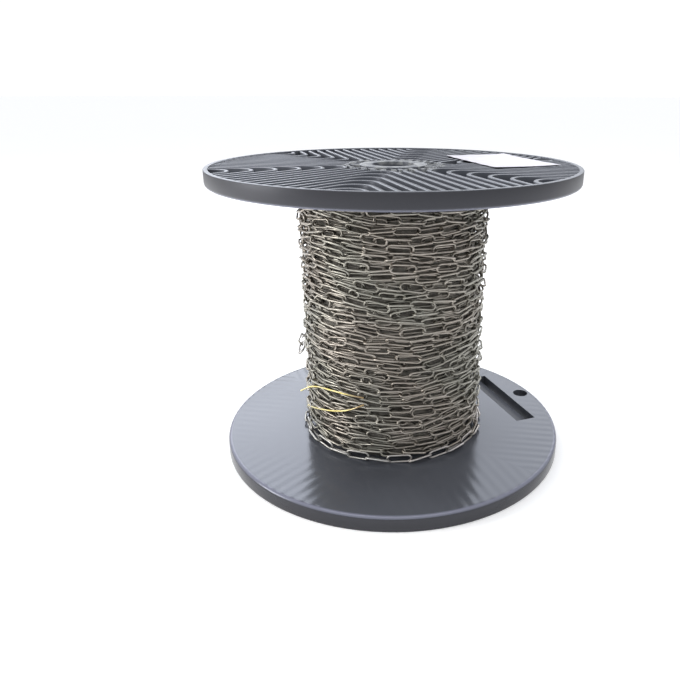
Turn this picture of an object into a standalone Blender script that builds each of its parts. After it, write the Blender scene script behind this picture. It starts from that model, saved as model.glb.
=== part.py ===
"""A reel of long-link steel chain, standing on one flange.

Two ribbed plastic flanges are joined by a hollow barrel, and the chain is wound
on the barrel between them.  The lower flange stands on the floor at z = 0 and
the reel's axis is the Z axis.  The camera of the reference picture looks along
+Y, so the front of the reel faces -Y.
"""
import math

import bmesh
import bpy
from mathutils import Matrix, Vector

MM = 0.001

# The reel as a whole
FLANGE_RADIUS = 200 * MM
FLANGE_DEPTH = 17 * MM
REEL_HEIGHT = 327 * MM
FIT_GAP = 0.3 * MM
ROUND_STEPS = 54

# One flange, drawn with its smooth inner face at z = 0 and its ribs upward
PLATE = 4 * MM
RIM_WALL = 5 * MM
RIM_INNER_EDGE = 4 * MM
RIM_OUTER_EDGE = 1.2 * MM
BORE_RADIUS = 23.5 * MM
COLLAR_RADIUS = 37 * MM
HUB_RING_INNER = 48 * MM
HUB_RING_OUTER = 53 * MM
HUB_RING_TOP = FLANGE_DEPTH - 0.6 * MM
TEETH = 30
NOTCH_DEPTH = 2.5 * MM

# Ribs: six sectors, each with ribs parallel to its middle line
SECTORS = 6
SECTOR_LINE = math.radians(18.5)
BOTTOM_TURN = math.radians(2.4)
HALF_SECTOR = math.pi / SECTORS
RIB_PITCH = 12.25 * MM
RIB_WIDTH = 4.2 * MM
RIB_TOP = FLANGE_DEPTH - 1.0 * MM
V_ROUND = 17.5 * MM
V_COUNT = 7
V_STEPS = 3
RIB_END_RADIUS = FLANGE_RADIUS - 0.5 * RIM_WALL

# Hand slot and driver hole, both on one of the lines between two sectors
SLOT_CENTRE = 152.6 * MM
SLOT_WIDTH = 26 * MM
SLOT_LENGTH = 130 * MM
SLOT_RAMP = 18.6 * MM
SLOT_RAMP_DEPTH = 6 * MM
SLOT_WALL = 3 * MM
SLOT_FRAME_TOP = FLANGE_DEPTH - 0.8 * MM
DRIVER_CENTRE = 184.5 * MM
DRIVER_RADIUS = 9.5 * MM
DRIVER_BOSS = 12 * MM
DRIVER_STEPS = 20

# Barrel and the wound chain
BARREL_RADIUS = 78 * MM
BARREL_WALL = 4 * MM
CORE_RADIUS = 92 * MM
TURNS = 31
TURN_CREST = 104.4 * MM
TURN_VALLEY = 101 * MM
CHAIN_STEPS = 36

# One link of the chain, and the loose last turn that lies over the others
WIRE_RADIUS = 1.25 * MM
LINK_LENGTH = 29 * MM
LINK_WIDTH = 10.5 * MM
LINK_PITCH = 23.5 * MM
LINK_ROLL = math.radians(45)
LINK_END_STEPS = 4
LAST_TURN_LINKS = 14
LAST_TURN_RADIUS = 108.8 * MM
LAST_TURN_ROW = 10.9
LAST_TURN_FIRST = math.radians(192)
LAST_TURN_RISE = 0.5 * MM

# Tie wire and label
TIE_RADIUS = 0.9 * MM
LABEL_CENTRE = 129 * MM
LABEL_SIZE = (78 * MM, 132 * MM)
LABEL_THICKNESS = 0.4 * MM
LABEL_CORNER = 2 * MM

INNER_LOW = FLANGE_DEPTH
INNER_HIGH = REEL_HEIGHT - FLANGE_DEPTH
WINDING_LOW = INNER_LOW + FIT_GAP
WINDING_HIGH = INNER_HIGH - FIT_GAP
TURN_PITCH = (WINDING_HIGH - WINDING_LOW) / TURNS


def clear_scene():
    for thing in list(bpy.data.objects):
        bpy.data.objects.remove(thing, do_unlink=True)


def new_collection(name):
    group = bpy.data.collections.new(name)
    bpy.context.scene.collection.children.link(group)
    return group


def make_material(name, colour, roughness, metallic=0.0):
    material = bpy.data.materials.new(name)
    material.use_nodes = True
    shader = material.node_tree.nodes["Principled BSDF"]
    shader.inputs["Base Color"].default_value = (*colour, 1.0)
    shader.inputs["Roughness"].default_value = roughness
    shader.inputs["Metallic"].default_value = metallic
    return material


def polar(radius, angle):
    return Vector((radius * math.cos(angle), radius * math.sin(angle)))


def arc(centre, radius, start, sweep, steps):
    return [centre + polar(radius, start + sweep * step / steps) for step in range(steps + 1)]


def put_in(thing, group):
    group.objects.link(thing)
    return thing


def evaluated_mesh(thing):
    """The finished mesh of an object, in world coordinates, with no doubled vertices."""
    bpy.context.view_layer.update()
    depsgraph = bpy.context.evaluated_depsgraph_get()
    mesh = bpy.data.meshes.new_from_object(thing.evaluated_get(depsgraph), depsgraph=depsgraph)
    mesh.transform(thing.matrix_world)
    cleaner = bmesh.new()
    cleaner.from_mesh(mesh)
    bmesh.ops.remove_doubles(cleaner, verts=cleaner.verts, dist=0.001 * MM)
    bmesh.ops.recalc_face_normals(cleaner, faces=cleaner.faces)
    cleaner.to_mesh(mesh)
    cleaner.free()
    return mesh


def turned(name, profile, steps, group):
    """A closed (radius, height) profile turned once about the Z axis."""
    count = len(profile)
    mesh = bpy.data.meshes.new(name)
    corners = [(radius, 0.0, height) for radius, height in profile]
    mesh.from_pydata(corners, [(i, (i + 1) % count) for i in range(count)], [])
    thing = put_in(bpy.data.objects.new(name, mesh), group)
    screw = thing.modifiers.new("turn", "SCREW")
    screw.axis = "Z"
    screw.angle = math.tau
    screw.steps = steps
    screw.render_steps = steps
    screw.use_merge_vertices = True
    screw.merge_threshold = 0.01 * MM
    return thing


def prisms(name, outlines, low, high, group):
    """Flat outlines in plan, all filled and raised from one height to another."""
    curve = bpy.data.curves.new(name, "CURVE")
    curve.dimensions = "2D"
    curve.fill_mode = "BOTH"
    curve.extrude = (high - low) / 2
    for outline in outlines:
        spline = curve.splines.new("POLY")
        spline.points.add(len(outline) - 1)
        for point, place in zip(spline.points, outline):
            point.co = (place.x, place.y, 0.0, 1.0)
        spline.use_cyclic_u = True
    drawn = put_in(bpy.data.objects.new(name, curve), group)
    drawn.location.z = (low + high) / 2
    solid = put_in(bpy.data.objects.new(name, evaluated_mesh(drawn)), group)
    bpy.data.objects.remove(drawn, do_unlink=True)
    return solid


def tube(name, path, radius, closed, group, resolution=1):
    """A round wire along a path of points."""
    curve = bpy.data.curves.new(name, "CURVE")
    curve.dimensions = "3D"
    curve.bevel_depth = radius
    curve.bevel_resolution = resolution
    curve.use_fill_caps = not closed
    spline = curve.splines.new("POLY")
    spline.points.add(len(path) - 1)
    for point, place in zip(spline.points, path):
        point.co = (*place, 1.0)
    spline.use_cyclic_u = closed
    drawn = put_in(bpy.data.objects.new(name, curve), group)
    mesh = evaluated_mesh(drawn)
    bpy.data.objects.remove(drawn, do_unlink=True)
    return mesh


def combine(body, tool, operation):
    tool.hide_render = True
    tool.display_type = "WIRE"
    change = body.modifiers.new(tool.name, "BOOLEAN")
    change.operation = operation
    change.solver = "EXACT"
    change.object = tool


def shade(mesh, sharp_degrees=35):
    mesh.polygons.foreach_set("use_smooth", [True] * len(mesh.polygons))
    mesh.set_sharp_from_angle(angle=math.radians(sharp_degrees))


def flange_profile():
    """Section of the turned part of a flange: collar, hub ring, plate and rim."""
    outer_centre = Vector((FLANGE_RADIUS - RIM_OUTER_EDGE, FLANGE_DEPTH - RIM_OUTER_EDGE))
    inner_centre = Vector((FLANGE_RADIUS - RIM_INNER_EDGE, RIM_INNER_EDGE))
    section = [
        Vector((BORE_RADIUS, FLANGE_DEPTH)),
        Vector((COLLAR_RADIUS, FLANGE_DEPTH)),
        Vector((COLLAR_RADIUS, PLATE)),
        Vector((HUB_RING_INNER, PLATE)),
        Vector((HUB_RING_INNER, HUB_RING_TOP)),
        Vector((HUB_RING_OUTER, HUB_RING_TOP)),
        Vector((HUB_RING_OUTER, PLATE)),
        Vector((FLANGE_RADIUS - RIM_WALL, PLATE)),
        Vector((FLANGE_RADIUS - RIM_WALL, FLANGE_DEPTH)),
    ]
    section += arc(outer_centre, RIM_OUTER_EDGE, math.pi / 2, -math.pi / 2, 2)
    section += arc(inner_centre, RIM_INNER_EDGE, 0.0, -math.pi / 2, 3)
    section.append(Vector((BORE_RADIUS, 0.0)))
    return section


def to_rim(start, direction):
    """Where a line from a point in plan meets the circle on which the ribs end."""
    along = start.dot(direction)
    across = start.length_squared - RIB_END_RADIUS ** 2
    return start + direction * (-along + math.sqrt(along ** 2 - across))


def v_side(line, offset, round_radius):
    """One side of a V-shaped rib, from rim to rim, round its apex near the hub."""
    centre = polar(offset / math.sin(HALF_SECTOR) + V_ROUND / math.sin(HALF_SECTOR), line)
    sweep = math.pi - 2 * HALF_SECTOR
    bend = arc(centre, round_radius, line + math.pi - sweep / 2, sweep, V_STEPS)
    first = to_rim(bend[0], polar(1.0, line + HALF_SECTOR))
    last = to_rim(bend[-1], polar(1.0, line - HALF_SECTOR))
    return [first] + bend + [last]


def v_rib(line, offset):
    hub_side = v_side(line, offset, V_ROUND + RIB_WIDTH / 2)
    rim_side = v_side(line, offset, V_ROUND - RIB_WIDTH / 2)
    return hub_side + rim_side[::-1]


def straight_rib(middle, offset):
    """A rib beside a sector's middle line, running from the collar to the rim."""
    direction = polar(1.0, middle)
    sideways = Vector((-direction.y, direction.x))
    start = 0.8 * COLLAR_RADIUS
    near = [direction * start + sideways * (offset + side * RIB_WIDTH / 2) for side in (-1, 1)]
    return [near[0], to_rim(near[0], direction), to_rim(near[1], direction), near[1]]


def rib_outlines():
    outlines = []
    for sector in range(SECTORS):
        line = SECTOR_LINE + 2 * HALF_SECTOR * sector
        for number in range(1, V_COUNT):
            outlines.append(v_rib(line, (number + 0.5) * RIB_PITCH))
        for side in (-0.5, 0.5):
            outlines.append(straight_rib(line + HALF_SECTOR, side * RIB_PITCH))
    return outlines


def rectangle(centre, length_out, length_across, line):
    """A rectangle in plan, turned to lie along a radial line."""
    out = polar(1.0, line)
    across = Vector((-out.y, out.x))
    signs = [(-1, -1), (1, -1), (1, 1), (-1, 1)]
    return [centre + out * (a * length_out / 2) + across * (b * length_across / 2) for a, b in signs]


def notch_outlines():
    reach = (HUB_RING_INNER + HUB_RING_OUTER) / 2
    width = math.pi * reach / TEETH
    outlines = []
    for tooth in range(TEETH):
        angle = SECTOR_LINE + math.tau * (tooth + 0.5) / TEETH
        outlines.append(rectangle(polar(reach, angle), 8 * MM, width, angle))
    return outlines


def slot_cutter(group):
    """The space of the hand slot: square walls, and a ramp on the side of the barrel."""
    inner = SLOT_CENTRE - SLOT_WIDTH / 2
    outer = SLOT_CENTRE + SLOT_WIDTH / 2
    section = [
        Vector((inner - 1 * MM, -1 * MM)),
        Vector((outer, -1 * MM)),
        Vector((outer, FLANGE_DEPTH + 1 * MM)),
        Vector((inner + SLOT_RAMP, FLANGE_DEPTH + 1 * MM)),
        Vector((inner + SLOT_RAMP, SLOT_RAMP_DEPTH)),
        Vector((inner, 0.0)),
    ]
    cutter = prisms("slot_space", [section], -SLOT_LENGTH / 2, SLOT_LENGTH / 2, group)
    stand_up = Matrix.Rotation(math.pi / 2, 4, "X")
    cutter.data.transform(Matrix.Rotation(SECTOR_LINE, 4, "Z") @ stand_up)
    return cutter


def flange_mesh(parts, tools):
    """One flange moulding, with its smooth inner face at z = 0."""
    body = turned("flange", flange_profile(), ROUND_STEPS, parts)
    embedded = PLATE / 2
    combine(body, prisms("ribs", rib_outlines(), embedded, RIB_TOP, tools), "UNION")

    slot_middle = polar(SLOT_CENTRE, SECTOR_LINE)
    frame = rectangle(slot_middle, SLOT_WIDTH + 2 * SLOT_WALL, SLOT_LENGTH + 2 * SLOT_WALL, SECTOR_LINE)
    combine(body, prisms("slot_frame", [frame], embedded, SLOT_FRAME_TOP, tools), "UNION")
    driver_middle = polar(DRIVER_CENTRE, SECTOR_LINE)
    boss = arc(driver_middle, DRIVER_BOSS, 0.0, math.tau, DRIVER_STEPS)[:-1]
    combine(body, prisms("driver_boss", [boss], 0.6 * PLATE, RIB_TOP - 0.4 * MM, tools), "UNION")

    combine(body, slot_cutter(tools), "DIFFERENCE")
    hole = arc(driver_middle, DRIVER_RADIUS, 0.0, math.tau, DRIVER_STEPS)[:-1]
    combine(body, prisms("driver_space", [hole], -1 * MM, FLANGE_DEPTH + 1 * MM, tools), "DIFFERENCE")
    notches = prisms("notches", notch_outlines(), HUB_RING_TOP - NOTCH_DEPTH, FLANGE_DEPTH, tools)
    combine(body, notches, "DIFFERENCE")

    mesh = evaluated_mesh(body)
    bpy.data.objects.remove(body, do_unlink=True)
    shade(mesh)
    return mesh


def add_piece(name, mesh, material, parts):
    mesh.name = name
    mesh.materials.clear()
    mesh.materials.append(material)
    return put_in(bpy.data.objects.new(name, mesh), parts)


def add_flanges(parts, tools):
    """The same moulding twice: the lower one is turned over about its slot line, then a little round."""
    upper = flange_mesh(parts, tools)
    lower = upper.copy()
    upper.transform(Matrix.Translation((0.0, 0.0, INNER_HIGH)))
    turn_over = Matrix.Rotation(math.pi, 4, polar(1.0, SECTOR_LINE).to_3d())
    turn_round = Matrix.Rotation(BOTTOM_TURN, 4, "Z")
    lower.transform(Matrix.Translation((0.0, 0.0, INNER_LOW)) @ turn_round @ turn_over)
    for name, mesh in (("top_flange", upper), ("bottom_flange", lower)):
        add_piece(name, mesh, make_material(name, (0.085, 0.092, 0.112), 0.38), parts)


def ring(name, inner, outer, steps, parts):
    """A plain ring that fills the height of the winding space."""
    profile = [(inner, WINDING_HIGH), (outer, WINDING_HIGH), (outer, WINDING_LOW), (inner, WINDING_LOW)]
    return turned(name, profile, steps, parts)


def add_barrel(parts):
    barrel = ring("barrel", BARREL_RADIUS - BARREL_WALL, BARREL_RADIUS, CHAIN_STEPS, parts)
    shade_turned(barrel, make_material("barrel", (0.085, 0.092, 0.112), 0.45))


def shade_turned(thing, material):
    """Keep the turned ring's flat ends flat while its round sides shade smooth."""
    mesh = evaluated_mesh(thing)
    thing.modifiers.clear()
    thing.data = mesh
    mesh.name = thing.name
    mesh.materials.append(material)
    shade(mesh, 60)


def add_chain_layers(parts):
    core = ring("chain_core", BARREL_RADIUS + FIT_GAP, CORE_RADIUS, CHAIN_STEPS, parts)
    shade_turned(core, make_material("chain_core", (0.20, 0.19, 0.18), 0.6, 0.8))

    profile = [(CORE_RADIUS + FIT_GAP, WINDING_HIGH)]
    for turn in range(TURNS):
        edge = WINDING_HIGH - turn * TURN_PITCH
        profile.append((TURN_VALLEY, edge))
        profile.append((TURN_CREST, edge - TURN_PITCH / 2))
    profile.append((TURN_VALLEY, WINDING_LOW))
    profile.append((CORE_RADIUS + FIT_GAP, WINDING_LOW))
    outer = turned("chain_outer_layer", profile, CHAIN_STEPS, parts)
    shade_turned(outer, make_material("chain_outer_layer", (0.42, 0.41, 0.38), 0.38, 1.0))


def link_path():
    """Middle line of one link's wire, lying flat with its length along X."""
    end_radius = LINK_WIDTH / 2 - WIRE_RADIUS
    reach = LINK_LENGTH / 2 - WIRE_RADIUS - end_radius
    right = arc(Vector((reach, 0.0)), end_radius, -math.pi / 2, math.pi, LINK_END_STEPS)
    left = arc(Vector((-reach, 0.0)), end_radius, math.pi / 2, math.pi, LINK_END_STEPS)
    return [(point.x, point.y, 0.0) for point in right + left]


def add_last_turn(parts, tools):
    """The loose end of the chain: real links, hooked together, lying over the wound layers."""
    drawn = tube("link", link_path(), WIRE_RADIUS, True, tools)
    first_height = WINDING_LOW + LAST_TURN_ROW * TURN_PITCH
    slope = math.asin(LAST_TURN_RISE / LINK_PITCH)
    step = 2 * math.asin(LINK_PITCH * math.cos(slope) / 2 / LAST_TURN_RADIUS)
    steel = (0.46, 0.44, 0.41)
    for number in range(LAST_TURN_LINKS):
        angle = LAST_TURN_FIRST + number * step
        roll = LINK_ROLL if number % 2 else -LINK_ROLL
        along_turn = Matrix.Rotation(angle + math.pi / 2, 4, "Z") @ Matrix.Rotation(-slope, 4, "Y")
        height = first_height + number * LAST_TURN_RISE
        place = Matrix.Translation((*polar(LAST_TURN_RADIUS, angle), height))
        mesh = drawn.copy()
        mesh.transform(place @ along_turn @ Matrix.Rotation(roll, 4, "X"))
        shade(mesh, 60)
        name = "last_turn_link_%02d" % (number + 1)
        add_piece(name, mesh, make_material(name, steel, 0.32, 1.0), parts)


def on_winding(degrees, height, lift):
    """A point just outside the winding, at an angle, a height and a distance off its crests."""
    place = polar(TURN_CREST + lift * MM, math.radians(degrees))
    return (place.x, place.y, height * MM)


def add_tie_wire(parts, tools):
    """The two strands of the tie that show, one of them with its free end standing off."""
    upper = [
        (206, 78, 13), (209, 83.5, 5), (215, 88, 1.4), (223, 92, 1.6), (231, 94.3, 1.8),
        (241, 95, 1.8), (248, 94.8, 1.4), (253, 94.5, 1.2),
    ]
    lower = [
        (199, 51, 1.2), (207, 56, 1.4), (214, 60.3, 1.8), (224, 65.7, 1.8), (233, 70.2, 1.8),
        (242, 75.6, 1.6), (248, 81, 1.4), (253, 86.3, 1.2),
    ]
    for name, places in (("tie_wire_upper", upper), ("tie_wire_lower", lower)):
        mesh = tube(name, [on_winding(*place) for place in places], TIE_RADIUS, False, tools)
        shade(mesh, 60)
        add_piece(name, mesh, make_material(name, (0.72, 0.60, 0.16), 0.4, 0.8), parts)


def add_label(parts, tools):
    """A bare label lying on the slot frame of the top flange."""
    half_out = LABEL_SIZE[0] / 2 - LABEL_CORNER
    half_across = LABEL_SIZE[1] / 2 - LABEL_CORNER
    corners = rectangle(Vector((LABEL_CENTRE, 0.0)), 2 * half_out, 2 * half_across, 0.0)
    outline = []
    for quarter, corner in enumerate(corners):
        outline += arc(corner, LABEL_CORNER, math.pi + quarter * math.pi / 2, math.pi / 2, 2)
    low = INNER_HIGH + SLOT_FRAME_TOP + 0.2 * MM
    label = prisms("label_sheet", [outline], low, low + LABEL_THICKNESS, tools)
    label.data.transform(Matrix.Rotation(SECTOR_LINE, 4, "Z"))
    mesh = label.data
    bpy.data.objects.remove(label, do_unlink=True)
    add_piece("label", mesh, make_material("label", (0.86, 0.84, 0.90), 0.55), parts)


def main():
    clear_scene()
    parts = new_collection("chain_reel")
    tools = new_collection("cutters")
    add_flanges(parts, tools)
    add_barrel(parts)
    add_chain_layers(parts)
    add_last_turn(parts, tools)
    add_tie_wire(parts, tools)
    add_label(parts, tools)


main()
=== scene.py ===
# %% [markdown]
# # A reel of steel chain
#
# The real object is a plastic cable reel that stands on one of its two flanges, with
# about seven kilograms of thin, long-link steel chain wound on it.  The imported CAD
# model already has the sizes right.  This lesson dresses it: the smooth moulding of
# the flanges, every link of the chain that shows, the tie wire, the label, and a
# procedural material for each of them.

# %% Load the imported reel
import math

import bmesh
import bpy
from mathutils import Matrix, Vector


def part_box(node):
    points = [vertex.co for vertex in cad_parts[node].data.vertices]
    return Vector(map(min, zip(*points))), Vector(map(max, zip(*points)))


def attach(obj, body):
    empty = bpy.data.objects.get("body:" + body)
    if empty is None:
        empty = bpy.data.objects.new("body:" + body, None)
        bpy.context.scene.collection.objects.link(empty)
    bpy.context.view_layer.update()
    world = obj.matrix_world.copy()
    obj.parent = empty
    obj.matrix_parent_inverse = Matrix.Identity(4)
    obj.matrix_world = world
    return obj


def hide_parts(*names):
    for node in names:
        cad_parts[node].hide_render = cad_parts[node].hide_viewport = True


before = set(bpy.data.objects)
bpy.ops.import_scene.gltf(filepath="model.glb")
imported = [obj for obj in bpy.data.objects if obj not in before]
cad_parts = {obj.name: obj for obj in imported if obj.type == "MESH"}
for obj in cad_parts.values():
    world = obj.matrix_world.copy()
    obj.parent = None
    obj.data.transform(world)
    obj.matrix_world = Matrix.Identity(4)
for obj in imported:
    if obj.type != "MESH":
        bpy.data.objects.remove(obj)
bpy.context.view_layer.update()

MM = 0.001
print("CAD nodes:", ", ".join(sorted(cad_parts)))

# %% [markdown]
# ## Camera
#
# A photographer stood a little above the upper flange and looked down by twenty
# degrees.  The ellipses of both flanges give the distance and the lens: the top one
# is flatter than the bottom one, and how much flatter depends only on how close the
# camera was.  The small lens shift keeps the reel right of the middle, as in the
# picture, without turning the camera.

# %% Camera
CAMERA_PLACE = Vector((0.0, -0.7021, 0.4034))
CAMERA_TILT = math.radians(70.02)
CAMERA_ROLL = math.radians(0.16)

lens = bpy.data.cameras.new("camera")
lens.sensor_width = 36.0
lens.lens = 33.384
lens.shift_x = -0.0780
lens.shift_y = -0.0321
camera = bpy.data.objects.new("camera", lens)
tilt_and_roll = Matrix.Rotation(CAMERA_TILT, 4, "X") @ Matrix.Rotation(CAMERA_ROLL, 4, "Z")
camera.matrix_world = Matrix.Translation(CAMERA_PLACE) @ tilt_and_roll
bpy.context.scene.collection.objects.link(camera)
bpy.context.scene.camera = camera
print("camera at", [round(value, 3) for value in CAMERA_PLACE])

# %% [markdown]
# ## Light and floor
#
# The reel was photographed in a bright white room.  Two big soft boxes stand behind it.
# They are there to be seen in the lower flange, which shows them on both sides as a
# pale lilac sheen, with the dark reflection of the winding between them.  A narrow
# strip overhead draws the bright line along the rim.  The room is darker near the
# horizon, which is all that the upper flange, seen almost edge on, can reflect.

# %% Light and floor
ROOM_LEVEL = 0.98
HORIZON_LEVEL = 0.45
SHEEN_COLOUR = (0.88, 0.92, 1.0)


def soft_lamp(name, place, target, size, power, colour=(1.0, 1.0, 1.0)):
    """A rectangular area lamp that looks at a point."""
    light = bpy.data.lights.new(name, "AREA")
    light.shape = "RECTANGLE"
    light.size, light.size_y = size
    light.energy = power
    light.color = colour
    lamp = bpy.data.objects.new(name, light)
    lamp.location = place
    lamp.rotation_euler = (Vector(target) - Vector(place)).to_track_quat("-Z", "Y").to_euler()
    bpy.context.scene.collection.objects.link(lamp)
    return lamp


soft_lamp("overhead_panel", (0.0, -0.2, 2.2), (0, 0, 0.15), (1.8, 0.8), 18.0, (1.0, 0.99, 0.98))
soft_lamp("left_box", (-0.80, 1.5, 1.15), (0, 0, 0.1), (1.3, 1.05), 17.0, SHEEN_COLOUR)
soft_lamp("right_box", (0.80, 1.5, 1.15), (0, 0, 0.1), (1.3, 1.05), 9.0, SHEEN_COLOUR)
soft_lamp("left_lamp", (-1.4, -0.35, 0.55), (0, 0, 0.15), (0.5, 0.5), 10.0, (1.0, 0.98, 0.96))

world = bpy.data.worlds.new("white_room")
bpy.context.scene.world = world
world.use_nodes = True
room = world.node_tree
room.nodes.clear()
seen = room.nodes.new("ShaderNodeBackground")
seen.inputs["Color"].default_value = (1.0, 1.0, 1.0, 1.0)
seen.inputs["Strength"].default_value = 1.05
unseen = room.nodes.new("ShaderNodeBackground")
unseen.inputs["Color"].default_value = (0.96, 0.975, 1.0, 1.0)
look = room.nodes.new("ShaderNodeTexCoord")
parts = room.nodes.new("ShaderNodeSeparateXYZ")
level = room.nodes.new("ShaderNodeMapRange")
level.inputs["From Min"].default_value = math.sin(math.radians(7))
level.inputs["From Max"].default_value = math.sin(math.radians(20))
level.inputs["To Min"].default_value = HORIZON_LEVEL
level.inputs["To Max"].default_value = ROOM_LEVEL
choose = room.nodes.new("ShaderNodeMixShader")
ray = room.nodes.new("ShaderNodeLightPath")
room.links.new(look.outputs["Object"], parts.inputs[0])
room.links.new(parts.outputs["Z"], level.inputs["Value"])
room.links.new(level.outputs[0], unseen.inputs["Strength"])
room.links.new(ray.outputs["Is Camera Ray"], choose.inputs[0])
room.links.new(unseen.outputs[0], choose.inputs[1])
room.links.new(seen.outputs[0], choose.inputs[2])
room.links.new(choose.outputs[0], room.nodes.new("ShaderNodeOutputWorld").inputs["Surface"])
bpy.context.scene.view_settings.view_transform = "Standard"

FLOOR_RADIUS = 40.0
floor_mesh = bpy.data.meshes.new("floor")
disc = bmesh.new()
bmesh.ops.create_circle(disc, cap_ends=True, segments=64, radius=FLOOR_RADIUS)
disc.to_mesh(floor_mesh)
disc.free()
floor = bpy.data.objects.new("floor", floor_mesh)
bpy.context.scene.collection.objects.link(floor)
print("four lamps and a floor of radius", FLOOR_RADIUS, "m")

# %% [markdown]
# ## Tools for node trees
#
# Shader trees and geometry trees are built the same way, so one helper serves both.
# It makes a node, sets its options, and then fills each socket with either a plain
# value or a wire from another node.  Some nodes keep several sockets of one name and
# switch all but one of them off, so the helper looks for the one that is in use.

# %% Tools for node trees
def pick(sockets, key):
    """A socket by its place in the row, or the one of that name that is in use."""
    if isinstance(key, int):
        return sockets[key]
    return next(socket for socket in sockets if socket.name == key and socket.enabled)


def add(tree, kind, inputs=None, **options):
    """Make a node, set its options, and fill its sockets with values or with wires."""
    node = tree.nodes.new(kind)
    for option, choice in options.items():
        setattr(node, option, choice)
    for key, sources in (inputs or {}).items():
        for source in sources if isinstance(sources, list) else [sources]:
            socket = pick(node.inputs, key)
            if isinstance(source, bpy.types.NodeSocket):
                tree.links.new(source, socket)
            else:
                socket.default_value = source
    return node


def result(tree, kind, inputs=None, output=0, **options):
    """The same, where only one output of the node is wanted."""
    return pick(add(tree, kind, inputs, **options).outputs, output)


def calc(tree, operation, *values, clamp=False):
    return result(tree, "ShaderNodeMath", dict(enumerate(values)), operation=operation, use_clamp=clamp)


def vector_calc(tree, operation, *values, output="Vector"):
    return result(tree, "ShaderNodeVectorMath", dict(enumerate(values)), output, operation=operation)


def scaled(tree, vector, factor):
    return result(tree, "ShaderNodeVectorMath", {0: vector, "Scale": factor}, "Vector", operation="SCALE")


def new_tree(name, kind, inputs, outputs):
    """An empty node group with named inputs and outputs, and its two end nodes."""
    tree = bpy.data.node_groups.new(name, kind)
    for label, socket in inputs:
        tree.interface.new_socket(label, in_out="INPUT", socket_type="NodeSocket" + socket)
    for label, socket in outputs:
        tree.interface.new_socket(label, in_out="OUTPUT", socket_type="NodeSocket" + socket)
    return tree, tree.nodes.new("NodeGroupInput").outputs, tree.nodes.new("NodeGroupOutput").inputs


print("tools ready")

# %% [markdown]
# ## Effects that several finishes share
#
# Three small shader groups are built once and placed in the materials with different
# values.  *Patches* gives soft blotches, for colour that is never quite even.  *Edge
# wear* compares the true surface direction with a rounded one: they only differ along
# edges, which is where plastic rubs pale.  *Sink marks* is the shallow ridge pattern
# that moulded ribs leave on the smooth side of a plate.

# %% Shared effects
def patches_group():
    group, given, gives = new_tree(
        "patches", "ShaderNodeTree", [("Scale", "Float"), ("Detail", "Float"), ("Contrast", "Float")], [("Mask", "Float")]
    )
    place = result(group, "ShaderNodeTexCoord", output="Object")
    cloud = result(
        group, "ShaderNodeTexNoise", {"Vector": place, "Scale": given["Scale"], "Detail": given["Detail"]}, "Fac"
    )
    spread = calc(group, "MULTIPLY", calc(group, "SUBTRACT", cloud, 0.5), given["Contrast"])
    group.links.new(calc(group, "ADD", spread, 0.5, clamp=True), gives["Mask"])
    return group


def edge_wear_group():
    group, given, gives = new_tree(
        "edge_wear", "ShaderNodeTree", [("Radius", "Float"), ("Strength", "Float")], [("Mask", "Float")]
    )
    rounded = result(group, "ShaderNodeBevel", {"Radius": given["Radius"]}, samples=4)
    plain = result(group, "ShaderNodeNewGeometry", output="Normal")
    likeness = vector_calc(group, "DOT_PRODUCT", rounded, plain, output="Value")
    bend = calc(group, "SUBTRACT", 1.0, likeness)
    group.links.new(calc(group, "MULTIPLY", bend, given["Strength"], clamp=True), gives["Mask"])
    return group


SECTOR_LINE = math.radians(18.5)
BOTTOM_TURN = math.radians(2.4)
SECTORS = 6
RIB_PITCH = 12.25 * MM


def sink_marks_group():
    """Height of the faint ridges opposite the ribs: parallel to the middle of each sixth of the plate."""
    group, given, gives = new_tree("sink_marks", "ShaderNodeTree", [("Pitch", "Float"), ("First Line", "Float")], [("Height", "Float")])
    axes = add(group, "ShaderNodeSeparateXYZ", {0: result(group, "ShaderNodeTexCoord", output="Object")}).outputs
    radius = calc(group, "SQRT", calc(group, "ADD", calc(group, "MULTIPLY", axes["X"], axes["X"]),
                                      calc(group, "MULTIPLY", axes["Y"], axes["Y"])))
    angle = calc(group, "SUBTRACT", calc(group, "ARCTAN2", axes["Y"], axes["X"]), given["First Line"])
    share = calc(group, "FRACT", calc(group, "ADD", calc(group, "DIVIDE", angle, math.tau / SECTORS), SECTORS))
    from_middle = calc(group, "MULTIPLY", calc(group, "SUBTRACT", share, 0.5), math.tau / SECTORS)
    across = calc(group, "MULTIPLY", radius, calc(group, "SINE", from_middle))
    turns = calc(group, "DIVIDE", across, given["Pitch"])
    wave = calc(group, "COSINE", calc(group, "MULTIPLY", turns, math.tau))
    group.links.new(wave, gives["Height"])
    return group


patches = patches_group()
edge_wear = edge_wear_group()
sink_marks = sink_marks_group()


def effect(tree, group, output=0, **values):
    """Place a shared effect in a material, with its own values."""
    node = add(tree, "ShaderNodeGroup", node_tree=group)
    for label, value in values.items():
        pick(node.inputs, label.replace("_", " ")).default_value = value
    return pick(node.outputs, output)


def mix_colours(tree, share, first, second):
    return result(tree, "ShaderNodeMix", {"Factor": share, "A": first, "B": second}, "Result", data_type="RGBA")


def between(tree, value, low, high):
    """Stretch a mask from 0..1 to low..high."""
    return result(tree, "ShaderNodeMapRange", {"Value": value, "To Min": low, "To Max": high})


def new_material(name):
    material = bpy.data.materials.new(name)
    material.use_nodes = True
    tree = material.node_tree
    return material, tree, tree.nodes["Principled BSDF"]


print("effects:", ", ".join(group.name for group in (patches, edge_wear, sink_marks)))

# %% [markdown]
# ## Floor finish
#
# A pale studio floor is a lit white board: almost white, quite rough, very slightly
# uneven, and glowing a little so that it stays white as far as the camera can see.

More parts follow.
